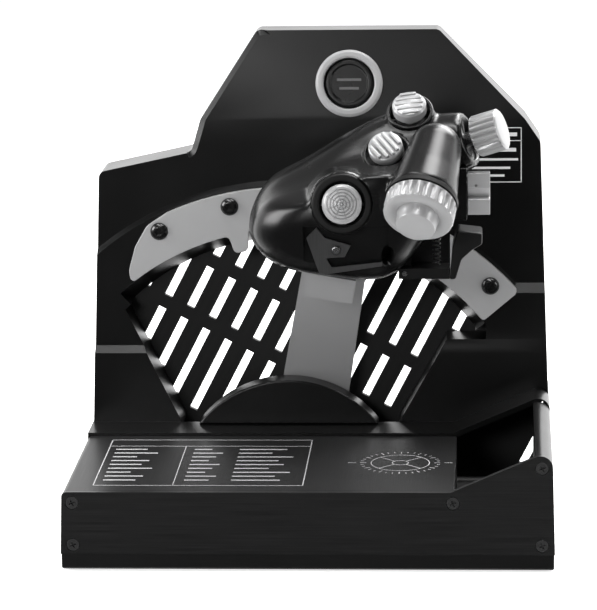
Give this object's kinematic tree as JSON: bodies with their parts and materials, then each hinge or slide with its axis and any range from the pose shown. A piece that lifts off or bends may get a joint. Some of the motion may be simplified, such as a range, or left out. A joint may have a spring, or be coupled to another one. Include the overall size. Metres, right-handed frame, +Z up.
{
  "type": "throttle quadrant",
  "caption": "Desk-top throttle quadrant: tall slotted panel on a low base, a lever swinging in a sector window, and a hand grip with its own knobs and switches.",
  "frame": {"origin": "middle of the base's footprint, on the surface it stands on", "axes": "+Z up; +X towards full forward travel of the lever, along the panel; -Y towards the user's side, where the grip is"},
  "size_m": [0.24, 0.16, 0.2445],
  "materials": {
    "casting_black": "fine satin texture",
    "tray_black": "matte",
    "foot_rubber": "matte",
    "plate_black": "brushed black satin",
    "grille_dark": "matte",
    "gate_grey": "satin",
    "arm_grey": "satin",
    "screw_black": "black oxide",
    "screw_dark": "dark satin",
    "ring_grey": "satin",
    "cap_black": "satin gloss",
    "switch_body": "matte",
    "spring_steel": "bright",
    "bearing_plastic": "matte",
    "shaft_steel": "ground",
    "board_green": "satin",
    "weight_steel": "plain",
    "socket_metal": "satin",
    "grip_black": "satin gloss",
    "knob_grey": "matte",
    "bezel_black": "matte",
    "lift_metal": "satin",
    "trigger_black": "satin"
  },
  "bodies": {
    "base": {"base_tray": "tray_black", "rubber_feet": "foot_rubber", "front_plate": "plate_black", "front_plate_screws": "screw_dark", "shelf_cover": "plate_black", "side_rail": "plate_black", "quadrant_housing": "casting_black", "rear_grille": "grille_dark", "rear_grille_screws": "screw_dark", "pivot_drum_cover": "casting_black", "aft_detent_plate": "gate_grey", "forward_detent_plate": "gate_grey", "detent_plate_screws": "screw_black", "push_bezel": "ring_grey", "push_switch": "switch_body", "push_switch_plate": "switch_body", "push_spring": "spring_steel", "front_bearing_block": "bearing_plastic", "rear_bearing_block": "bearing_plastic", "bearing_block_screws": "screw_dark", "friction_brake": "bearing_plastic", "sensor_board": "board_green", "main_board": "board_green", "board_standoffs": "socket_metal", "ballast_weight": "weight_steel", "rear_socket": "socket_metal"},
    "throttle": {"lever_arm": "arm_grey", "pivot_shaft": "shaft_steel", "sensor_magnet": "shaft_steel", "grip_stem": "arm_grey", "stem_screws": "screw_dark", "grip_thumb_shell": "grip_black", "grip_palm_shell": "grip_black", "cursor_bezel": "bezel_black", "hat_collar": "bezel_black", "brake_collar": "bezel_black", "brake_slide": "bezel_black", "elevation_ring": "bezel_black", "tab_guide": "trigger_black", "finger_lift_rivet": "socket_metal", "release_lug": "trigger_black", "release_spring": "spring_steel"},
    "push_button": {"push_cap": "cap_black"},
    "cursor_ring": {"cursor_gimbal": "switch_body"},
    "cursor_knob": {"cursor_post": "switch_body", "cursor_cap": "knob_grey"},
    "hat_ring": {"hat_gimbal": "switch_body"},
    "hat_knob": {"hat_cap": "knob_grey"},
    "brake_slider": {"brake_switch_cap": "knob_grey"},
    "elevation_dial": {"elevation_knob": "knob_grey"},
    "range_spindle": {"range_shaft": "shaft_steel"},
    "range_dial": {"range_knob": "knob_grey"},
    "tab_slider": {"tab_switch": "knob_grey"},
    "lift_latch": {"finger_lift": "lift_metal"},
    "release_trigger": {"release_shoe": "trigger_black", "release_pin": "shaft_steel", "cutoff_paddle": "trigger_black"}
  },
  "joints": [
    {"name": "throttle_swing", "type": "hinge", "parent": "base", "child": "throttle", "pos_m": [-0.016, 0.0585, 0.014], "axis": [0, 1, 0], "range_deg": [-38, 22]},
    {"name": "push_press", "type": "slide", "parent": "base", "child": "push_button", "axis": [0, 0.9763, -0.2164], "range_m": [0, 0.0025], "stiffness_N_per_m": 400, "springref_m": -0.001, "deforming": ["push_spring"]},
    {"name": "cursor_tilt_x", "type": "hinge", "parent": "throttle", "child": "cursor_ring", "pos_m": [0.01777, -0.05021, 0.17587], "axis": [0.9992, 0.0393, -0.0076], "range_deg": [-6, 6], "stiffness_Nm_per_rad": 0.05},
    {"name": "cursor_tilt_y", "type": "hinge", "parent": "cursor_ring", "child": "cursor_knob", "pos_m": [0.01777, -0.05021, 0.17587], "axis": [0, 0.1903, 0.9817], "range_deg": [-6, 6], "stiffness_Nm_per_rad": 0.05},
    {"name": "hat_tilt_x", "type": "hinge", "parent": "throttle", "child": "hat_ring", "pos_m": [0.05009, -0.01046, 0.21004], "axis": [0.9987, -0.0312, 0.0392], "range_deg": [-5, 5], "stiffness_Nm_per_rad": 0.05},
    {"name": "hat_tilt_y", "type": "hinge", "parent": "hat_ring", "child": "hat_knob", "pos_m": [0.05009, -0.01046, 0.21004], "axis": [0, 0.7828, 0.6222], "range_deg": [-5, 5], "stiffness_Nm_per_rad": 0.05},
    {"name": "brake_slide", "type": "slide", "parent": "throttle", "child": "brake_slider", "axis": [0.9276, -0.3106, -0.2077], "range_m": [-0.003, 0.003]},
    {"name": "elevation_turn", "type": "hinge", "parent": "throttle", "child": "elevation_dial", "pos_m": [0.05641, -0.0615, 0.17879], "axis": [-0.1805, -0.7621, -0.6217], "range_deg": [-150, 150]},
    {"name": "range_turn", "type": "hinge", "parent": "throttle", "child": "range_spindle", "pos_m": [0.07901, -0.0125, 0.20099], "axis": [0.9213, -0.2203, 0.3204], "range_deg": [-150, 150]},
    {"name": "range_press", "type": "slide", "parent": "range_spindle", "child": "range_dial", "axis": [-0.9213, 0.2203, -0.3204], "range_m": [0, 0.0012], "stiffness_N_per_m": 400, "springref_m": -0.001},
    {"name": "tab_slide", "type": "slide", "parent": "throttle", "child": "tab_slider", "axis": [0, 0, 1], "range_m": [-0.003, 0.003]},
    {"name": "lift_turn", "type": "hinge", "parent": "throttle", "child": "lift_latch", "pos_m": [0.01481, -0.05, 0.15359], "axis": [0, -1, 0], "range_deg": [0, 8], "stiffness_Nm_per_rad": 0.05, "springref_deg": -5.73},
    {"name": "release_squeeze", "type": "hinge", "parent": "throttle", "child": "release_trigger", "pos_m": [0.04701, -0.02, 0.13639], "axis": [0, -1, 0], "range_deg": [0, 7], "stiffness_Nm_per_rad": 0.15, "springref_deg": -17.19, "deforming": ["release_spring"]}
  ]
}
